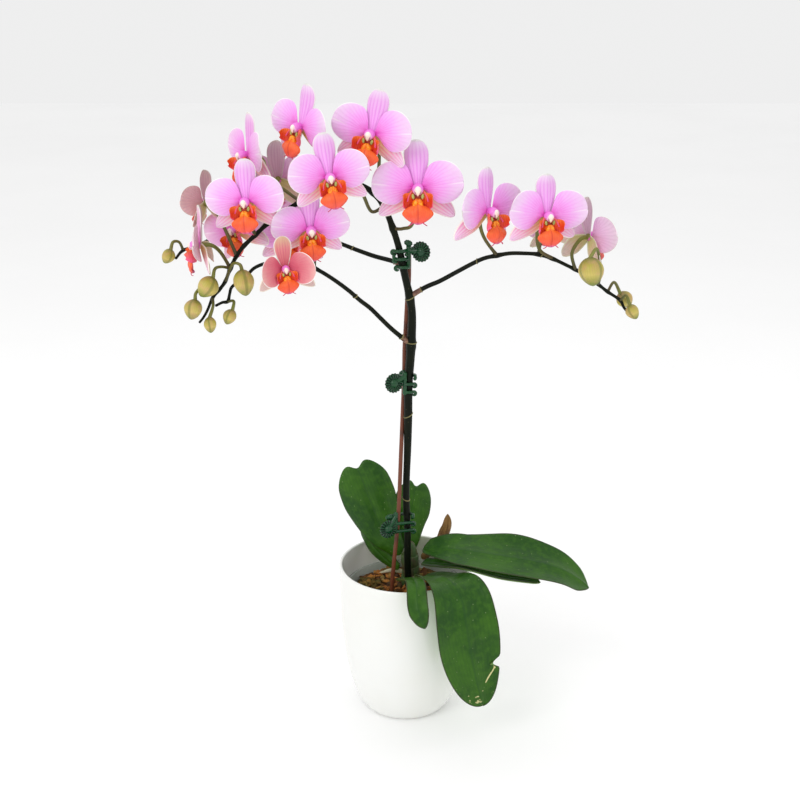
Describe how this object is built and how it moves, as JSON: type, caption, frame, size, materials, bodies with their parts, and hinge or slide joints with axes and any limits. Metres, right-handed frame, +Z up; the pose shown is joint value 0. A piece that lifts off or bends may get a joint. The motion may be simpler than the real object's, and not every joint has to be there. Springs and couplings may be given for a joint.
{
  "type": "potted orchid",
  "caption": "Moth orchid in a round glazed pot: strap leaves, a branched arching spray of pink flowers with orange lips, buds, a stake and plant clips.",
  "frame": {"origin": "centre of the pot's flat underside", "axes": "+Z up along the pot's axis; the flowers face -Y; the right-hand branch grows towards +X"},
  "size_m": [0.4396, 0.1601, 0.6231],
  "materials": {
    "pot_glaze": "gloss",
    "clear_plastic": "gloss",
    "bark": "matte",
    "leaf": "satin",
    "dry_leaf": "matte",
    "crown": "satin",
    "stem": "satin",
    "bud": "satin",
    "petal": "satin",
    "lip": "satin",
    "stake_wood": "matte",
    "clip_plastic": "gloss"
  },
  "bodies": {
    "root": {"pot": "pot_glaze", "nursery_pot": "clear_plastic", "growing_medium": "bark", "crown": "crown", "spike": "stem", "stake": "stake_wood", "leaf_back_left": "leaf", "leaf_back": "leaf", "leaf_left_low": "leaf", "leaf_right": "leaf", "leaf_right_low": "leaf", "leaf_front_right": "leaf", "leaf_front": "leaf", "leaf_withered": "dry_leaf", "clip_top": "clip_plastic", "clip_middle": "clip_plastic", "clip_bottom": "clip_plastic", "bud_01": "bud", "bud_02": "bud", "bud_03": "bud", "bud_04": "bud", "bud_05": "bud", "bud_06": "bud", "bud_07": "bud", "bud_08": "bud", "bud_09": "bud", "flower_01": "petal", "lip_01": "lip", "flower_02": "petal", "lip_02": "lip", "flower_03": "petal", "lip_03": "lip", "flower_04": "petal", "lip_04": "lip", "flower_05": "petal", "lip_05": "lip", "flower_06": "petal", "lip_06": "lip", "flower_07": "petal", "lip_07": "lip", "flower_08": "petal", "lip_08": "lip", "flower_09": "petal", "lip_09": "lip", "flower_10": "petal", "lip_10": "lip", "flower_11": "petal", "lip_11": "lip", "flower_12": "petal", "lip_12": "lip", "flower_13": "petal", "lip_13": "lip", "flower_14": "petal", "lip_14": "lip", "flower_15": "petal", "lip_15": "lip", "flower_16": "petal", "lip_16": "lip", "flower_17": "petal", "lip_17": "lip"}
  },
  "joints": []
}
